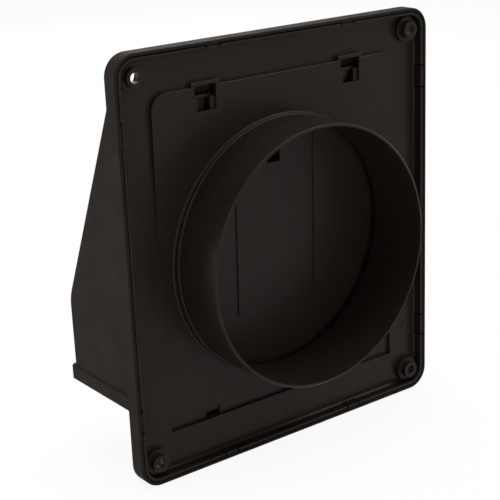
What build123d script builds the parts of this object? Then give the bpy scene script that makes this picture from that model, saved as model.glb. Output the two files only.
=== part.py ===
"""Hooded wall vent for a round duct: cowl, back plate with spigot, hinged back-draught flap.

Millimetres. The spigot runs along Y and enters the wall towards +Y, the hood faces -Y,
Z is up. The origin lies on the spigot axis in the plane of the wall.
"""
import os
from math import cos, radians, sin, tan

from build123d import *

# Spigot that enters the duct
spigot_od = 149.0
spigot_wall = 1.6
spigot_reach = 30.5
spigot_lead = 0.5
shoulder_step = 0.8
shoulder_reach = -1.6
shoulder_bevel = 0.55
foot_bevel = 0.8

# Face plate round the spigot
side_border = 33.0
top_border = 48.0
bottom_border = 43.0
plate_corner = 12.5
plate_depth = 10.5
plate_edge = 1.1
cowl_wall = 2.0
skirt_wall = 1.8
skirt_bevel = 0.5

# Hood
hood_inset = 1.5
hood_drop = 22.0
hood_depth = 68.7
hood_slope = 25.4
hood_bottom = -72.5
hood_edge = 2.0
knee_radius = 25.0
lip_height = 8.5
lip_side = 1.0
lip_front = 3.2
lip_corner = 2.6
lip_bevel = 0.8

# Back plate that sits inside the skirt
seam = 0.5
seat_gap = 0.1
rim_wall = 1.8
rim_short = 0.4
rim_bevel = 0.3
floor_wall = 2.0
floor_bevel = 1.0

# Screw bosses
screw_inset = 12.6
screw_hole = 5.5
boss_end = 10.0
boss_base = 15.0
boss_short = 0.2
boss_step = 3.6
boss_wall = 2.1
hole_bevel = 0.45
head_wall = 1.0
face_hole_clear = 0.3

# Catches along the rim
catch_side_rise = 79.0
catch_top_x = 46.5
catch_side_length = 12.0
catch_top_length = 8.0
catch_slot = 1.0
catch_slot_depth = 6.0
tongue_inset = 0.6
tongue_wall = 1.3
ledge_reach = 0.9
ledge_back = 0.6
ledge_wall = 1.4
nose_reach = 0.8
nose_flat = 0.5
nose_ramp = 1.0
nose_clear = 0.3

# Tilted seat panel
seat_tilt = 1.5
seat_level = -12.5
panel_side = 10.0
panel_top = 24.5
panel_bottom = 19.5
panel_corner = 9.0
panel_foot = 0.6
panel_wall = 2.0
step_wall = 2.0
panel_bevel = 0.5
panel_clear = 0.5

# Hinge of the flap
hinge_x = 50.5
hinge_rise = 18.0
hinge_front = 2.75
pin_r = 1.4
pin_clear = 0.05
pin_length = 12.4
hook_wall = 1.2
hook_width = 4.0
hook_gap = 7.8
hook_foot = 11.0
hook_mouth = 0.4
window_width = 14.0
window_height = 14.0
frame_wall = 1.8
frame_rise = 2.5

# Flap
flap_wall = 1.6
flap_stand = 5.4
flap_side_lap = 5.0
flap_bottom_lap = 14.5
flap_drop = 14.5
flap_corner = 6.0
arm_width = 4.0
arm_head = 1.2
arm_root = 4.0
groove_x = 28.0
groove_width = 2.2
groove_deep = 0.8
groove_bottom = -39.5
slot_width = 9.0
slot_height = 9.0
slot_rise = 51.0

# Stops that the closed flap rests on
stop_x = 50.9
stop_width = 11.8
stop_wall = 1.8
stop_root = 5.0
rest_gap = 0.3
low_window_x = 53.0
low_window_width = 10.0
low_window_height = 5.5
low_window_lift = 3.0
stop_over = 2.5

# Worked out from the sizes above
embed = 0.6
through = 200.0
spigot_r = spigot_od / 2
bore_r = spigot_r - spigot_wall
plate_width = spigot_od + 2 * side_border
plate_height = spigot_od + top_border + bottom_border
plate_mid = (top_border - bottom_border) / 2
plate_half = plate_width / 2
plate_top = spigot_r + top_border
face_front = -plate_depth
face_back = cowl_wall - plate_depth
hood_half = plate_half - hood_inset
hood_top = plate_top - hood_drop
slope_run = tan(radians(hood_slope))
slope_wall = cowl_wall / cos(radians(hood_slope))
hood_front = -hood_depth
tray_width = plate_width - 2 * (skirt_wall + seam)
tray_height = plate_height - 2 * (skirt_wall + seam)
tray_corner = plate_corner - skirt_wall - seam
rim_back = -rim_short
floor_front = face_back + seat_gap
floor_back = floor_front + floor_wall
screw_pitch_x = plate_width - 2 * screw_inset
screw_pitch_z = plate_height - 2 * screw_inset
head_recess = boss_base - 2 * boss_wall
head_seat = -boss_step - head_wall
panel_width = 2 * (spigot_r + panel_side)
panel_height = spigot_od + panel_top + panel_bottom
panel_mid = (panel_top - panel_bottom) / 2
panel_bottom_z = -spigot_r - panel_bottom
tilt = radians(seat_tilt)
front_dir = (0, -cos(tilt), sin(tilt))
pin_front = panel_wall + hinge_front
pin_up = (spigot_r + hinge_rise - seat_level) / cos(tilt)
flap_back = panel_wall + flap_stand
flap_front = flap_back + flap_wall
flap_top = pin_up - flap_drop
flap_bottom = (-bore_r - flap_bottom_lap - seat_level) / cos(tilt)
flap_width = 2 * (bore_r + flap_side_lap)
window_mid = spigot_r + hinge_rise
tab_half = window_width / 2 + frame_wall
panel_top_z = spigot_r + panel_top
nose_level = -ledge_back - ledge_wall - nose_clear
low_window_mid = panel_bottom_z + step_wall + low_window_lift


def wall_plane(y, z=0):
    """Upright plane at depth y, local x along X, local y up, facing the front."""
    return Plane(origin=(0, y, z), x_dir=(1, 0, 0), z_dir=(0, -1, 0))


def seat_plane(front):
    """Plane parallel to the tilted seat, a distance in front of its back surface."""
    origin = Vector(0, floor_back, seat_level) + Vector(*front_dir) * front
    return Plane(origin=origin, x_dir=(1, 0, 0), z_dir=front_dir)


def side_plane(x):
    """Plane across X in the seat's own directions: local x to the front, local y up the seat."""
    return Plane(origin=(x, floor_back, seat_level), x_dir=front_dir, z_dir=(-1, 0, 0))


def catch_plane(x, z, out_x, out_z):
    """Plane across the rim at a catch: local x outward, local y towards the wall."""
    return Plane(origin=(x, 0, z), x_dir=(out_x, 0, out_z), z_dir=(-out_z, 0, out_x))


def up_seat(z):
    """Distance up the seat of a height z."""
    return (z - seat_level) / cos(tilt)


def panel_outline(inset):
    """Outline of the panel drawn in by a distance, round above and nearly sharp below."""
    with BuildSketch() as outline:
        Rectangle(panel_width - 2 * inset, panel_height - 2 * inset)
        fillet(vertices().group_by(Axis.Y)[-1], panel_corner - inset)
        fillet(vertices().group_by(Axis.Y)[0], panel_foot + step_wall - inset)
    return outline.sketch


# Outside, inside and middle of the step round the panel
panel_outside = panel_outline(0)
panel_inside = panel_outline(step_wall)
panel_middle = panel_outline(step_wall / 2)

# Catch places: plane across the rim and length of the catch
catches = []
for sign in (-1, 1):
    for rise in (-catch_side_rise, catch_side_rise):
        spot = catch_plane(sign * tray_width / 2, plate_mid + rise, sign, 0)
        catches.append((spot, catch_side_length))
    for across in (-catch_top_x, catch_top_x):
        spot = catch_plane(across, plate_mid + sign * tray_height / 2, 0, sign)
        catches.append((spot, catch_top_length))

# Straight runs of the panel's upper edge: middle, half length and height
top_runs = [(0, hinge_x - tab_half, panel_top_z)]
for sign in (-1, 1):
    run_start = hinge_x + tab_half
    run_end = panel_width / 2 - panel_corner
    top_runs.append((sign * (run_start + run_end) / 2, (run_end - run_start) / 2, panel_top_z))
    top_runs.append((sign * hinge_x, tab_half, panel_top_z + frame_rise))

# Outside of the hood
with BuildPart() as hood_body:
    with BuildSketch(Plane.YZ):
        with BuildLine():
            knee_z = hood_top - (hood_depth - plate_depth) / slope_run
            Polyline(
                (face_front + embed, hood_top),
                (face_front, hood_top),
                (hood_front, knee_z),
                (hood_front, hood_bottom),
                (face_front + embed, hood_bottom),
                close=True,
            )
        make_face()
        fillet(vertices().sort_by(Axis.X)[0:2].sort_by(Axis.Y)[-1], knee_radius)
    extrude(amount=hood_half, both=True)
    hood_rims = edges().filter_by(lambda e: abs(abs(e.center().X) - hood_half) < 0.01)
    outer_rims = hood_rims.filter_by(lambda e: e.center().Y < face_front - 1).filter_by(
        lambda e: e.center().Z > hood_bottom + 1
    )
    fillet(outer_rims, hood_edge)

# Lip round the lower edge of the hood
with BuildPart() as lip_body:
    with BuildSketch(Plane.XY.offset(hood_bottom)):
        with BuildLine():
            lip_half = hood_half + lip_side
            lip_y = hood_front - lip_front
            Polyline(
                (-lip_half, face_front + embed),
                (-lip_half, lip_y),
                (lip_half, lip_y),
                (lip_half, face_front + embed),
                close=True,
            )
        make_face()
        fillet(vertices().sort_by(Axis.Y)[0:2], lip_corner)
    extrude(amount=lip_height)
    lip_top = edges().filter_by(lambda e: e.center().Z > hood_bottom + lip_height - 0.01)
    chamfer(lip_top.filter_by(lambda e: e.center().Y < face_front), lip_bevel)

# Inside of the hood, open at the back and at the bottom
with BuildPart() as hood_space:
    with BuildSketch(Plane.YZ):
        with BuildLine():
            inner_front = hood_front + cowl_wall
            inner_top = hood_top + (plate_depth - slope_wall + floor_back) / slope_run
            inner_knee = hood_top - (-inner_front - plate_depth + slope_wall) / slope_run
            Polyline(
                (floor_back, inner_top),
                (inner_front, inner_knee),
                (inner_front, hood_bottom - embed),
                (floor_back, hood_bottom - embed),
                close=True,
            )
        make_face()
        fillet(vertices().sort_by(Axis.X)[0:2].sort_by(Axis.Y)[-1], knee_radius - cowl_wall)
    extrude(amount=hood_half - cowl_wall, both=True)
    with BuildSketch(Plane.XY.offset(hood_bottom - embed)):
        with BuildLine():
            Polyline(
                (-lip_half + cowl_wall, face_back),
                (-lip_half + cowl_wall, lip_y + cowl_wall),
                (lip_half - cowl_wall, lip_y + cowl_wall),
                (lip_half - cowl_wall, face_back),
                close=True,
            )
        make_face()
        fillet(vertices().sort_by(Axis.Y)[0:2], lip_corner - cowl_wall)
    extrude(amount=lip_height + embed - cowl_wall)

# Cowl: face plate, skirt and hood in one moulding
with BuildPart() as cowl:
    with BuildSketch(wall_plane(0, plate_mid)):
        RectangleRounded(plate_width, plate_height, plate_corner)
    extrude(amount=plate_depth)
    fillet(edges().filter_by(lambda e: e.center().Y < face_front + 0.01), plate_edge)
    add(hood_body.part)
    add(lip_body.part)
    with BuildSketch(wall_plane(0, plate_mid)):
        RectangleRounded(
            plate_width - 2 * skirt_wall,
            plate_height - 2 * skirt_wall,
            plate_corner - skirt_wall,
        )
    extrude(amount=plate_depth - cowl_wall, mode=Mode.SUBTRACT)
    chamfer(edges().filter_by(lambda e: e.center().Y > -0.01), skirt_bevel)
    add(hood_space.part, mode=Mode.SUBTRACT)
    with BuildSketch(wall_plane(face_back + embed)):
        strip_bottom = panel_bottom_z - panel_clear
        strip_top = hood_bottom + lip_height / 2
        with Locations((0, (strip_top + strip_bottom) / 2)):
            Rectangle(panel_width + 2 * panel_clear, strip_top - strip_bottom)
    extrude(amount=cowl_wall + 2 * embed, mode=Mode.SUBTRACT)
    with BuildSketch(wall_plane(0, plate_mid)):
        with GridLocations(screw_pitch_x, screw_pitch_z, 2, 2):
            Circle(head_recess / 2 + face_hole_clear)
    extrude(amount=plate_depth + embed, mode=Mode.SUBTRACT)
    for spot, length in catches:
        with BuildSketch(spot):
            with Locations((seam + (embed - ledge_reach) / 2, -ledge_back - ledge_wall / 2)):
                Rectangle(ledge_reach + embed, ledge_wall)
        extrude(amount=length / 2 - nose_clear, both=True)

# Raised and sunk walls that join the tilted panel to the floor
with BuildPart() as raised_step:
    with BuildSketch(wall_plane(floor_back + plate_depth, panel_mid)):
        add(panel_outside)
        with Locations(
            (-hinge_x, panel_height / 2),
            (hinge_x, panel_height / 2),
        ):
            Rectangle(2 * tab_half, 2 * frame_rise)
        add(panel_inside, mode=Mode.SUBTRACT)
    extrude(amount=plate_depth + floor_wall)
    split(bisect_by=seat_plane(0), keep=Keep.TOP)

with BuildPart() as sunk_step:
    with BuildSketch(wall_plane(floor_back, panel_mid)):
        add(panel_outside)
        add(panel_inside, mode=Mode.SUBTRACT)
    extrude(amount=plate_depth)
    split(bisect_by=seat_plane(panel_wall), keep=Keep.BOTTOM)

# Spigot tube, cut off inside the tilted panel
with BuildPart() as spigot_tube:
    with BuildSketch(wall_plane(spigot_reach)):
        Circle(spigot_r)
    extrude(amount=spigot_reach + plate_depth)
    chamfer(edges().filter_by(lambda e: e.center().Y > spigot_reach - 0.01), spigot_lead)
    with BuildSketch(wall_plane(shoulder_reach)):
        Circle(spigot_r + shoulder_step)
    extrude(amount=shoulder_reach + plate_depth)
    shoulder_rims = edges().filter_by(lambda e: abs(e.center().Y - shoulder_reach) < 0.01)
    chamfer(shoulder_rims.sort_by(SortBy.LENGTH)[-1], shoulder_bevel)
    split(bisect_by=seat_plane(panel_wall / 2), keep=Keep.BOTTOM)

# Back plate: tray, bosses, tilted panel, spigot, hinge hooks and stops in one moulding
with BuildPart() as back_plate:
    with BuildSketch(wall_plane(rim_back, plate_mid)):
        RectangleRounded(tray_width, tray_height, tray_corner)
    extrude(amount=rim_back - floor_front)
    with BuildSketch(wall_plane(rim_back, plate_mid)):
        RectangleRounded(
            tray_width - 2 * rim_wall,
            tray_height - 2 * rim_wall,
            tray_corner - rim_wall,
        )
    extrude(amount=rim_back - floor_back, mode=Mode.SUBTRACT)
    chamfer(edges().filter_by(lambda e: abs(e.center().Y - floor_back) < 0.01), floor_bevel)
    chamfer(edges().filter_by(lambda e: abs(e.center().Y - rim_back) < 0.01), rim_bevel)
    with BuildSketch(wall_plane(floor_back, panel_mid)):
        add(panel_inside)
    extrude(amount=plate_depth, mode=Mode.SUBTRACT)
    add(raised_step.part)
    add(sunk_step.part)
    with BuildSketch(seat_plane(0)):
        with Locations((0, up_seat(panel_mid))):
            add(panel_middle)
    extrude(amount=panel_wall)
    add(spigot_tube.part)
    foot_edges = edges().filter_by(GeomType.ELLIPSE).filter_by(
        lambda e: e.length > 2 * spigot_od
    )
    chamfer(foot_edges.sort_by(Axis.Y)[-1], foot_bevel)
    with BuildSketch(wall_plane(spigot_reach + embed)):
        Circle(bore_r)
    extrude(amount=through, mode=Mode.SUBTRACT)
    with BuildSketch(wall_plane(-boss_short, plate_mid)):
        with GridLocations(screw_pitch_x, screw_pitch_z, 2, 2):
            Circle(boss_end / 2)
    extrude(amount=-boss_short - floor_back + embed)
    with BuildSketch(wall_plane(-boss_step, plate_mid)):
        with GridLocations(screw_pitch_x, screw_pitch_z, 2, 2):
            Circle(boss_base / 2)
    extrude(amount=-boss_step - floor_back + embed)
    with BuildSketch(wall_plane(0, plate_mid)):
        with GridLocations(screw_pitch_x, screw_pitch_z, 2, 2):
            Circle(screw_hole / 2)
    extrude(amount=plate_depth, mode=Mode.SUBTRACT)
    hole_edges = edges().filter_by(GeomType.CIRCLE).filter_by(
        lambda e: abs(e.center().Y + boss_short) < 0.01 and e.length < 4 * screw_hole
    )
    chamfer(hole_edges, hole_bevel)
    with BuildSketch(wall_plane(head_seat, plate_mid)):
        with GridLocations(screw_pitch_x, screw_pitch_z, 2, 2):
            Circle(head_recess / 2)
    extrude(amount=plate_depth, mode=Mode.SUBTRACT)
    with BuildSketch(wall_plane(0)):
        with Locations((-hinge_x, window_mid), (hinge_x, window_mid)):
            Rectangle(window_width, window_height)
        with Locations((-low_window_x, low_window_mid), (low_window_x, low_window_mid)):
            Rectangle(low_window_width, low_window_height)
    extrude(amount=plate_depth + panel_wall, mode=Mode.SUBTRACT)
    for middle, half, top in top_runs:
        with BuildSketch(side_plane(middle)):
            with BuildLine():
                Polyline(
                    (-embed, up_seat(top) + embed),
                    (-embed, up_seat(top) - panel_bevel - embed),
                    (panel_bevel + embed, up_seat(top) + embed),
                    close=True,
                )
            make_face()
        extrude(amount=half, both=True, mode=Mode.SUBTRACT)
    for sign in (-1, 1):
        for side in (-1, 1):
            hook_x = sign * hinge_x + side * (hook_gap + hook_width) / 2
            with BuildSketch(side_plane(hook_x)):
                hook_r = pin_r + pin_clear + hook_wall
                with BuildLine():
                    Polyline(
                        (panel_wall - embed, pin_up - hook_foot),
                        (panel_wall + hook_wall, pin_up - hook_foot),
                        (pin_front + hook_r, pin_up - hook_r),
                        (pin_front + hook_r, pin_up),
                        (panel_wall - embed, pin_up),
                        close=True,
                    )
                make_face()
                with Locations((pin_front, pin_up)):
                    Circle(hook_r)
                    Circle(pin_r + pin_clear, mode=Mode.SUBTRACT)
                with Locations((pin_front, pin_up + hook_mouth + hook_r)):
                    Rectangle(4 * hook_r, 2 * hook_r, mode=Mode.SUBTRACT)
            extrude(amount=hook_width / 2, both=True)
        with BuildSketch(side_plane(sign * stop_x)):
            stop_face = flap_back - rest_gap
            stop_top = up_seat(low_window_mid + low_window_height / 2) + stop_wall
            stop_low = up_seat(low_window_mid - low_window_height / 2) - stop_over
            with BuildLine():
                Polyline(
                    (panel_wall - embed, stop_top),
                    (stop_face, stop_top),
                    (stop_face, stop_low),
                    (stop_face - stop_wall, stop_low),
                    (stop_face - stop_wall, stop_top - stop_root),
                    (panel_wall - embed, stop_top - stop_root),
                    close=True,
                )
            make_face()
        extrude(amount=stop_width / 2, both=True)
    for spot, length in catches:
        with BuildSketch(spot):
            with Locations((-rim_wall / 2, -catch_slot_depth / 2)):
                Rectangle(rim_wall + embed, catch_slot_depth)
        extrude(amount=length / 2 + catch_slot, both=True, mode=Mode.SUBTRACT)
        with BuildSketch(spot):
            with BuildLine():
                Polyline(
                    (-tongue_inset - tongue_wall, floor_back - embed),
                    (-tongue_inset - tongue_wall, rim_back),
                    (-tongue_inset, rim_back),
                    (-tongue_inset, nose_level),
                    (-tongue_inset + nose_reach, nose_level),
                    (-tongue_inset + nose_reach, nose_level - nose_flat),
                    (-tongue_inset, nose_level - nose_flat - nose_ramp),
                    (-tongue_inset, floor_back - embed),
                    close=True,
                )
            make_face()
        extrude(amount=length / 2, both=True)

# Flap with its two hinge arms and pins in one moulding
with BuildPart() as flap:
    with BuildSketch(seat_plane(flap_back)):
        with Locations((0, (flap_top + flap_bottom) / 2)):
            RectangleRounded(flap_width, flap_top - flap_bottom, flap_corner)
        with Locations((0, up_seat(slot_rise))):
            Rectangle(slot_width, slot_height, mode=Mode.SUBTRACT)
    extrude(amount=flap_wall)
    with BuildSketch(seat_plane(flap_back)):
        groove_low = up_seat(groove_bottom)
        with Locations(
            (-groove_x, (flap_top + groove_low) / 2),
            (groove_x, (flap_top + groove_low) / 2),
        ):
            Rectangle(groove_width, flap_top - groove_low + embed)
    extrude(amount=groove_deep, mode=Mode.SUBTRACT)
    for sign in (-1, 1):
        with BuildSketch(side_plane(sign * hinge_x)):
            with BuildLine():
                Polyline(
                    (pin_front + arm_head, pin_up),
                    (flap_front, flap_top),
                    (flap_front, flap_top - arm_root),
                    (flap_back, flap_top - arm_root),
                    (pin_front - arm_head, pin_up),
                    close=True,
                )
            make_face()
        extrude(amount=arm_width / 2, both=True)
        with BuildSketch(side_plane(sign * hinge_x)):
            with Locations((pin_front, pin_up)):
                Circle(pin_r)
        extrude(amount=pin_length / 2, both=True)

os.makedirs("parts", exist_ok=True)
cowl.part.label = "cowl"
export_step(cowl.part, "parts/cowl.step")
back_plate.part.label = "back_plate"
export_step(back_plate.part, "parts/back_plate.step")
flap.part.label = "flap"
export_step(flap.part, "parts/flap.step")
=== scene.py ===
"""Looks of the hooded wall vent: moulded plastic, ejector marks, studio and camera."""

import logging
import math
from dataclasses import dataclass, field
from enum import Enum

import bpy
from mathutils import Matrix, Vector


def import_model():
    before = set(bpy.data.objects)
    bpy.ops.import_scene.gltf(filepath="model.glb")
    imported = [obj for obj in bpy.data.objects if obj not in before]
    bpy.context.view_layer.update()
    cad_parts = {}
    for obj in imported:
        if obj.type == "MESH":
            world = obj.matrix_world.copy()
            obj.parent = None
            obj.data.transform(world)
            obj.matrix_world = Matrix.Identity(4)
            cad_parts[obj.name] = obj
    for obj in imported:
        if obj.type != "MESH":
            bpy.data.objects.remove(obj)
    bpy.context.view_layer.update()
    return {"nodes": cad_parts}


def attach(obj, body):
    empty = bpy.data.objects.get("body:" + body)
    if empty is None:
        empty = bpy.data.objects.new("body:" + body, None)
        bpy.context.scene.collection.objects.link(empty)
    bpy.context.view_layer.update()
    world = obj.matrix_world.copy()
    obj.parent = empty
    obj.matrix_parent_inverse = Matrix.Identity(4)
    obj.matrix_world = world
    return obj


LOG = logging.getLogger("wall_vent")
MM = 0.001
IMAGE_PX = 500
SENSOR_MM = 36.0
CLIP_NEAR = 0.01
CLIP_FAR = 50.0

Colour = tuple[float, float, float, float]
Point = tuple[float, float, float]
Spot = tuple[float, float]

WHITE: Colour = (1.0, 1.0, 1.0, 1.0)
CENTRE: Point = (0.0, 0.0, 0.0)


class Surface(Enum):
    """Faces of the back plate that carry ejector marks."""

    FLOOR = "floor"
    PANEL = "panel"


@dataclass(frozen=True)
class PlasticFinish:
    """Dark brown moulded plastic with a fine spark-eroded grain.

    Attributes:
        name: Name of the material.
        deep: Colour in the darker clouds of the moulding.
        pale: Colour in the paler clouds of the moulding.
        rough_low: Roughness of the smoothest patches.
        rough_high: Roughness of the dullest patches.
        specular: Strength of the reflection.
        grain_mm: Size of the fine grain.
        grain_depth: Strength of the fine grain.
        grain_rise: Height of the fine grain in metres.
        wave_mm: Size of the slow waviness of the walls.
        wave_depth: Strength of the slow waviness.
        wave_rise: Height of the slow waviness in metres.
        cloud_mm: Size of the clouds in the colour.
        cloud_span: Noise levels that show the darker and the paler colour.
        patch_mm: Size of the patches of different gloss.
        patch_span: Noise levels of the smoothest and the dullest patches.
        noise_rough: Share that each finer layer of a noise keeps.
        edge_mm: Radius that the mould leaves on the edges.
        edge_samples: Number of rays that find the edges.
    """

    name: str
    deep: Colour
    pale: Colour
    rough_low: float
    rough_high: float
    specular: float
    grain_mm: float = 0.45
    grain_depth: float = 0.12
    grain_rise: float = 0.0001
    wave_mm: float = 26.0
    wave_depth: float = 0.05
    wave_rise: float = 0.002
    cloud_mm: float = 38.0
    cloud_span: tuple[float, float] = (0.35, 0.68)
    patch_mm: float = 14.0
    patch_span: tuple[float, float] = (0.3, 0.7)
    noise_rough: float = 0.55
    edge_mm: float = 0.4
    edge_samples: int = 6

    def material(self) -> bpy.types.Material:
        """Make the node material of this finish.

        Returns:
            The new material.
        """
        material = bpy.data.materials.new(self.name)
        material.use_nodes = True
        tree = material.node_tree
        shader = tree.nodes["Principled BSDF"]
        shader.inputs["Specular IOR Level"].default_value = self.specular
        place = tree.nodes.new("ShaderNodeTexCoord")
        self._colour(tree, shader, place)
        self._roughness(tree, shader, place)
        self._relief(tree, shader, place)
        material.diffuse_color = self.pale
        return material

    def _noise(
        self,
        tree: bpy.types.NodeTree,
        place: bpy.types.Node,
        size_mm: float,
        detail: float,
    ) -> bpy.types.Node:
        """Add a noise texture on the object's own coordinates.

        Args:
            tree: Node tree of the material.
            place: Texture coordinate node.
            size_mm: Size of the noise's features in millimetres.
            detail: Number of finer layers.

        Returns:
            The noise node.
        """
        noise = tree.nodes.new("ShaderNodeTexNoise")
        noise.inputs["Scale"].default_value = 1.0 / (size_mm * MM)
        noise.inputs["Detail"].default_value = detail
        noise.inputs["Roughness"].default_value = self.noise_rough
        tree.links.new(place.outputs["Object"], noise.inputs["Vector"])
        return noise

    def _colour(
        self, tree: bpy.types.NodeTree, shader: bpy.types.Node, place: bpy.types.Node
    ) -> None:
        """Cloud the colour slightly, as pigment does in a large moulding.

        Args:
            tree: Node tree of the material.
            shader: Surface shader.
            place: Texture coordinate node.
        """
        clouds = self._noise(tree, place, self.cloud_mm, detail=3.0)
        ramp = tree.nodes.new("ShaderNodeValToRGB")
        stops = zip(ramp.color_ramp.elements, self.cloud_span, (self.deep, self.pale))
        for stop, level, colour in stops:
            stop.position = level
            stop.color = colour
        tree.links.new(clouds.outputs["Fac"], ramp.inputs["Fac"])
        tree.links.new(ramp.outputs["Color"], shader.inputs["Base Color"])

    def _roughness(
        self, tree: bpy.types.NodeTree, shader: bpy.types.Node, place: bpy.types.Node
    ) -> None:
        """Let the gloss change a little from patch to patch.

        Args:
            tree: Node tree of the material.
            shader: Surface shader.
            place: Texture coordinate node.
        """
        patches = self._noise(tree, place, self.patch_mm, detail=2.0)
        span = tree.nodes.new("ShaderNodeMapRange")
        span.inputs["From Min"].default_value = self.patch_span[0]
        span.inputs["From Max"].default_value = self.patch_span[1]
        span.inputs["To Min"].default_value = self.rough_low
        span.inputs["To Max"].default_value = self.rough_high
        tree.links.new(patches.outputs["Fac"], span.inputs["Value"])
        tree.links.new(span.outputs["Result"], shader.inputs["Roughness"])

    def _relief(
        self, tree: bpy.types.NodeTree, shader: bpy.types.Node, place: bpy.types.Node
    ) -> None:
        """Fine grain over a slow waviness, with softly rounded edges.

        Args:
            tree: Node tree of the material.
            shader: Surface shader.
            place: Texture coordinate node.
        """
        wave = tree.nodes.new("ShaderNodeBump")
        wave.inputs["Strength"].default_value = self.wave_depth
        wave.inputs["Distance"].default_value = self.wave_rise
        rounding = tree.nodes.new("ShaderNodeBevel")
        rounding.samples = self.edge_samples
        rounding.inputs["Radius"].default_value = self.edge_mm * MM
        tree.links.new(rounding.outputs["Normal"], wave.inputs["Normal"])
        slow = self._noise(tree, place, self.wave_mm, detail=1.0)
        tree.links.new(slow.outputs["Fac"], wave.inputs["Height"])
        grain = tree.nodes.new("ShaderNodeBump")
        grain.inputs["Strength"].default_value = self.grain_depth
        grain.inputs["Distance"].default_value = self.grain_rise
        fine = self._noise(tree, place, self.grain_mm, detail=2.0)
        tree.links.new(fine.outputs["Fac"], grain.inputs["Height"])
        tree.links.new(wave.outputs["Normal"], grain.inputs["Normal"])
        tree.links.new(grain.outputs["Normal"], shader.inputs["Normal"])


@dataclass(frozen=True)
class Mouldings:
    """The three mouldings that come from the frame, and their finishes.

    Attributes:
        cowl: Finish of the cowl.
        back_plate: Finish of the back plate.
        flap: Finish of the flap.
    """

    cowl: PlasticFinish = PlasticFinish(
        name="cowl_plastic",
        deep=(0.0136, 0.0097, 0.0078, 1.0),
        pale=(0.0158, 0.0114, 0.0092, 1.0),
        rough_low=0.64,
        rough_high=0.74,
        specular=0.05,
    )
    back_plate: PlasticFinish = PlasticFinish(
        name="back_plastic",
        deep=(0.0136, 0.0095, 0.0078, 1.0),
        pale=(0.0158, 0.0112, 0.0092, 1.0),
        rough_low=0.28,
        rough_high=0.36,
        specular=0.095,
    )
    flap: PlasticFinish = PlasticFinish(
        name="flap_plastic",
        deep=(0.0134, 0.0096, 0.0081, 1.0),
        pale=(0.0156, 0.0113, 0.0095, 1.0),
        rough_low=0.32,
        rough_high=0.40,
        specular=0.11,
    )

    def dress(self, nodes: dict[str, bpy.types.Object]) -> None:
        """Give each moulding its material.

        Args:
            nodes: The frame's nodes by name.
        """
        for name in ("cowl", "back_plate", "flap"):
            finish: PlasticFinish = getattr(self, name)
            mesh = nodes[name].data
            material = finish.material()
            for index in range(len(mesh.materials)):
                mesh.materials[index] = material
            LOG.info("dressed %s with %s", name, finish.name)


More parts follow.
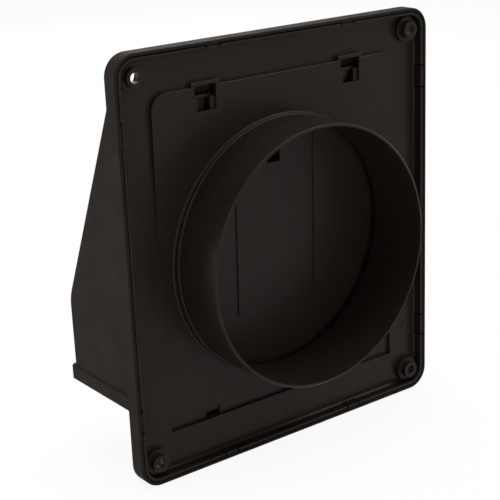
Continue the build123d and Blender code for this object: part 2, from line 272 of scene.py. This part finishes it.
@dataclass
class EjectorMarks:
    """Shallow round marks that the mould's ejector pins leave on the back plate.

    Attributes:
        radius: Radius of a mark.
        rim: Width of its raised witness ring.
        proud: Height of the ring over the surface.
        sink: Depth of the dish inside the ring.
        sides: Number of sides of the round.
        facing: Least upward normal of the face that becomes the dish.
        floor_back: Y of the floor's back surface, in millimetres.
        seat_level: Z where the tilted panel is level with the floor, in millimetres.
        seat_tilt: Tilt of the panel in degrees.
        floor_spots: X and Z of the marks on the floor, in millimetres.
        panel_spots: X and Z of the marks on the panel, in millimetres.
    """

    radius: float = 2.7
    rim: float = 0.35
    proud: float = 0.25
    sink: float = 0.15
    sides: int = 32
    facing: float = 0.9
    floor_back: float = -6.4
    seat_level: float = -12.5
    seat_tilt: float = 1.5
    floor_spots: list[Spot] = field(
        default_factory=lambda: [
            (97.4, 3.4),
            (-97.4, 3.4),
            (95.0, -76.2),
            (-95.0, -76.2),
            (0.0, -105.9),
        ]
    )
    panel_spots: list[Spot] = field(
        default_factory=lambda: [
            (67.3, 48.0),
            (-67.3, 48.0),
            (79.2, 24.3),
            (-79.2, 24.3),
            (67.3, -49.0),
            (-67.3, -49.0),
            (35.2, 86.0),
            (-35.2, 86.0),
            (0.0, 81.3),
        ]
    )

    def build(self, material: bpy.types.Material) -> None:
        """Model the marks, one object for each surface.

        Args:
            material: Material of the back plate.
        """
        self._cluster(Surface.FLOOR, self.floor_spots, material)
        self._cluster(Surface.PANEL, self.panel_spots, material)

    def _cluster(
        self,
        surface: Surface,
        spots: list[Spot],
        material: bpy.types.Material,
    ) -> None:
        """Model a mark at each spot and join them into one object at the origin.

        Args:
            surface: Face that carries the marks.
            spots: X and Z of each mark in millimetres.
            material: Material of the marks.
        """
        marks = [self._mark(surface, x, z) for x, z in spots]
        bpy.ops.object.select_all(action="DESELECT")
        for mark in marks:
            mark.select_set(True)
        bpy.context.view_layer.objects.active = marks[0]
        bpy.ops.object.join()
        piece = bpy.context.view_layer.objects.active
        piece.name = f"ejector_marks_{surface.value}"
        piece.data.materials.clear()
        piece.data.materials.append(material)
        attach(piece, "housing")
        LOG.info("modelled %s with %d marks", piece.name, len(spots))

    def _mark(self, surface: Surface, x: float, z: float) -> bpy.types.Object:
        """Model one mark from a disc: inset its outer face and sink it into a dish.

        Args:
            surface: Face that carries the mark.
            x: X of its centre in millimetres.
            z: Z of its centre in millimetres.

        Returns:
            The mark with its place in its mesh.
        """
        tilt = math.radians(self.seat_tilt) if surface is Surface.PANEL else 0.0
        y = self.floor_back + math.tan(tilt) * (z - self.seat_level)
        bpy.ops.object.select_all(action="DESELECT")
        bpy.ops.mesh.primitive_cylinder_add(
            vertices=self.sides,
            radius=self.radius * MM,
            depth=2 * self.proud * MM,
            location=(x * MM, y * MM, z * MM),
            rotation=(-math.pi / 2 - tilt, 0.0, 0.0),
        )
        mark = bpy.context.view_layer.objects.active
        bpy.ops.object.mode_set(mode="EDIT")
        bpy.ops.mesh.select_all(action="DESELECT")
        bpy.ops.object.mode_set(mode="OBJECT")
        for face in mark.data.polygons:
            face.select = face.normal.z > self.facing
        bpy.ops.object.mode_set(mode="EDIT")
        bpy.ops.mesh.select_mode(type="FACE")
        bpy.ops.mesh.inset(thickness=self.rim * MM)
        outward = Vector((0.0, math.cos(tilt), -math.sin(tilt)))
        bpy.ops.transform.translate(value=-outward * self.sink * MM)
        bpy.ops.object.mode_set(mode="OBJECT")
        bpy.ops.object.transform_apply(location=True, rotation=True, scale=True)
        return mark


@dataclass(frozen=True)
class Softbox:
    """A square area lamp aimed at the vent.

    Attributes:
        name: Name of the lamp.
        place: Where it hangs, in metres.
        aim: Point that it faces, in metres.
        size: Side of its square in metres.
        watts: Its power.
    """

    name: str
    place: Point
    aim: Point
    size: float
    watts: float

    def hang(self) -> None:
        """Add the lamp to the scene."""
        lamp = bpy.data.lights.new(self.name, "AREA")
        lamp.shape = "SQUARE"
        lamp.size = self.size
        lamp.energy = self.watts
        piece = bpy.data.objects.new(self.name, lamp)
        bpy.context.scene.collection.objects.link(piece)
        piece.location = self.place
        way = Vector(self.aim) - Vector(self.place)
        piece.rotation_euler = way.to_track_quat("-Z", "Y").to_euler()
        LOG.info("hung %s", self.name)


@dataclass
class Studio:
    """Pale floor, white surround and soft lamps.

    Attributes:
        floor_z: Height of the floor in metres.
        floor_size: Side of the floor in metres.
        floor_colour: Colour of the floor.
        floor_rough: Roughness of the floor.
        floor_white: Share of plain white in what the camera sees of the floor.
        ambient: Strength of the surround's light.
        lamps: The soft lamps.
    """

    floor_z: float = -0.1177
    floor_size: float = 12.0
    floor_colour: Colour = (0.86, 0.86, 0.86, 1.0)
    floor_rough: float = 0.9
    floor_white: float = 0.92
    ambient: float = 0.43
    lamps: list[Softbox] = field(
        default_factory=lambda: [
            Softbox("top_box", (0.0, 0.0, 1.6), CENTRE, size=1.0, watts=17.6),
            Softbox("right_box", (-0.9, 0.6, 1.1), CENTRE, size=0.8, watts=5.0),
            Softbox("back_box", (0.2, 1.3, 0.05), (0.0, 0.0, -0.05), size=0.5, watts=3.4),
            Softbox("front_box", (-0.5, -1.4, 0.7), CENTRE, size=1.0, watts=10.6),
            Softbox("side_box", (0.62, -0.42, -0.02), (0.1, -0.04, -0.09), size=0.25, watts=2.2),
        ]
    )

    def build(self) -> None:
        """Lay the floor, light the surround and hang the lamps."""
        self._floor()
        self._surround()
        for lamp in self.lamps:
            lamp.hang()

    def _floor(self) -> None:
        """Lay a pale floor that shows white to the camera and keeps the shadow."""
        bpy.ops.object.select_all(action="DESELECT")
        bpy.ops.mesh.primitive_plane_add(
            size=self.floor_size, location=(0.0, 0.0, self.floor_z)
        )
        floor = bpy.context.view_layer.objects.active
        floor.name = "studio_floor"
        bpy.ops.object.transform_apply(location=True, rotation=True, scale=True)
        floor.data.materials.append(self._floor_material())
        LOG.info("laid the floor")

    def _floor_material(self) -> bpy.types.Material:
        """Make the pale floor, whitened where the camera or a reflection sees it.

        Returns:
            The floor's material.
        """
        material = bpy.data.materials.new("studio_floor")
        material.use_nodes = True
        tree = material.node_tree
        shader = tree.nodes["Principled BSDF"]
        shader.inputs["Base Color"].default_value = self.floor_colour
        shader.inputs["Roughness"].default_value = self.floor_rough
        shader.inputs["Specular IOR Level"].default_value = 0.0
        white = tree.nodes.new("ShaderNodeEmission")
        white.inputs["Color"].default_value = WHITE
        white.inputs["Strength"].default_value = 1.0
        share = tree.nodes.new("ShaderNodeMath")
        share.operation = "MULTIPLY"
        share.inputs[1].default_value = self.floor_white
        mix = tree.nodes.new("ShaderNodeMixShader")
        tree.links.new(self._seen(tree), share.inputs[0])
        tree.links.new(share.outputs["Value"], mix.inputs["Fac"])
        tree.links.new(shader.outputs["BSDF"], mix.inputs[1])
        tree.links.new(white.outputs["Emission"], mix.inputs[2])
        tree.links.new(mix.outputs["Shader"], tree.nodes["Material Output"].inputs["Surface"])
        return material

    def _seen(self, tree: bpy.types.NodeTree) -> bpy.types.NodeSocket:
        """Tell rays that are seen, straight or in a reflection, from rays that only light.

        Args:
            tree: Node tree of the floor or of the world.

        Returns:
            Socket that is 1 for a seen ray and 0 for any other.
        """
        path = tree.nodes.new("ShaderNodeLightPath")
        direct = tree.nodes.new("ShaderNodeMath")
        direct.operation = "MAXIMUM"
        either = tree.nodes.new("ShaderNodeMath")
        either.operation = "MAXIMUM"
        tree.links.new(path.outputs["Is Camera Ray"], direct.inputs[0])
        tree.links.new(path.outputs["Is Glossy Ray"], direct.inputs[1])
        tree.links.new(direct.outputs["Value"], either.inputs[0])
        tree.links.new(path.outputs["Is Transmission Ray"], either.inputs[1])
        return either.outputs["Value"]

    def _surround(self) -> None:
        """Light the world softly and let the camera and reflections see it white."""
        world = bpy.data.worlds.new("studio_world")
        bpy.context.scene.world = world
        world.use_nodes = True
        tree = world.node_tree
        tree.nodes.clear()
        out = tree.nodes.new("ShaderNodeOutputWorld")
        soft = tree.nodes.new("ShaderNodeBackground")
        soft.inputs["Color"].default_value = WHITE
        soft.inputs["Strength"].default_value = self.ambient
        white = tree.nodes.new("ShaderNodeBackground")
        white.inputs["Color"].default_value = WHITE
        white.inputs["Strength"].default_value = 1.0
        mix = tree.nodes.new("ShaderNodeMixShader")
        tree.links.new(self._seen(tree), mix.inputs["Fac"])
        tree.links.new(soft.outputs["Background"], mix.inputs[1])
        tree.links.new(white.outputs["Background"], mix.inputs[2])
        tree.links.new(mix.outputs["Shader"], out.inputs["Surface"])


@dataclass(frozen=True)
class PhotoCamera:
    """Camera that stands where the photograph was taken from.

    Attributes:
        place: Where it stands, in metres.
        azimuth: Degrees round the vent, 0 looks along +Y.
        elevation: Degrees above the horizon.
        roll: Degrees turned about its own axis.
        focal_px: Focal length in pixels of the square image.
    """

    place: Point = (0.440696, 0.552690, 0.234053)
    azimuth: float = 143.266
    elevation: float = 18.456
    roll: float = -2.361
    focal_px: float = 1314.1

    def stand(self) -> None:
        """Add the camera and make it the scene's own."""
        lens = bpy.data.cameras.new("photo_camera")
        lens.sensor_fit = "HORIZONTAL"
        lens.sensor_width = SENSOR_MM
        lens.lens = self.focal_px / IMAGE_PX * SENSOR_MM
        lens.clip_start = CLIP_NEAR
        lens.clip_end = CLIP_FAR
        camera = bpy.data.objects.new("photo_camera", lens)
        bpy.context.scene.collection.objects.link(camera)
        camera.matrix_world = Matrix.Translation(self.place) @ self._turn()
        bpy.context.scene.camera = camera
        LOG.info("placed the camera")

    def _turn(self) -> Matrix:
        """Work out which way the camera faces.

        Returns:
            Its rotation as a 4 by 4 matrix.
        """
        round_by = math.radians(self.azimuth)
        above = math.radians(self.elevation)
        back = Vector(
            (
                math.sin(round_by) * math.cos(above),
                -math.cos(round_by) * math.cos(above),
                math.sin(above),
            )
        )
        level = Vector((0.0, 0.0, 1.0)).cross(back).normalized()
        upright = back.cross(level)
        roll = math.radians(self.roll)
        right = level * math.cos(roll) + upright * math.sin(roll)
        up = upright * math.cos(roll) - level * math.sin(roll)
        return Matrix((right, up, back)).transposed().to_4x4()


def main() -> None:
    """Load the frame, dress it, add the marks, the studio and the camera."""
    logging.basicConfig(level=logging.INFO, format="%(name)s: %(message)s")
    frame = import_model()
    Mouldings().dress(frame["nodes"])
    back_material = frame["nodes"]["back_plate"].data.materials[0]
    EjectorMarks().build(back_material)
    Studio().build()
    PhotoCamera().stand()
    bpy.context.scene.view_settings.view_transform = "Standard"


if __name__ == "__main__":
    main()
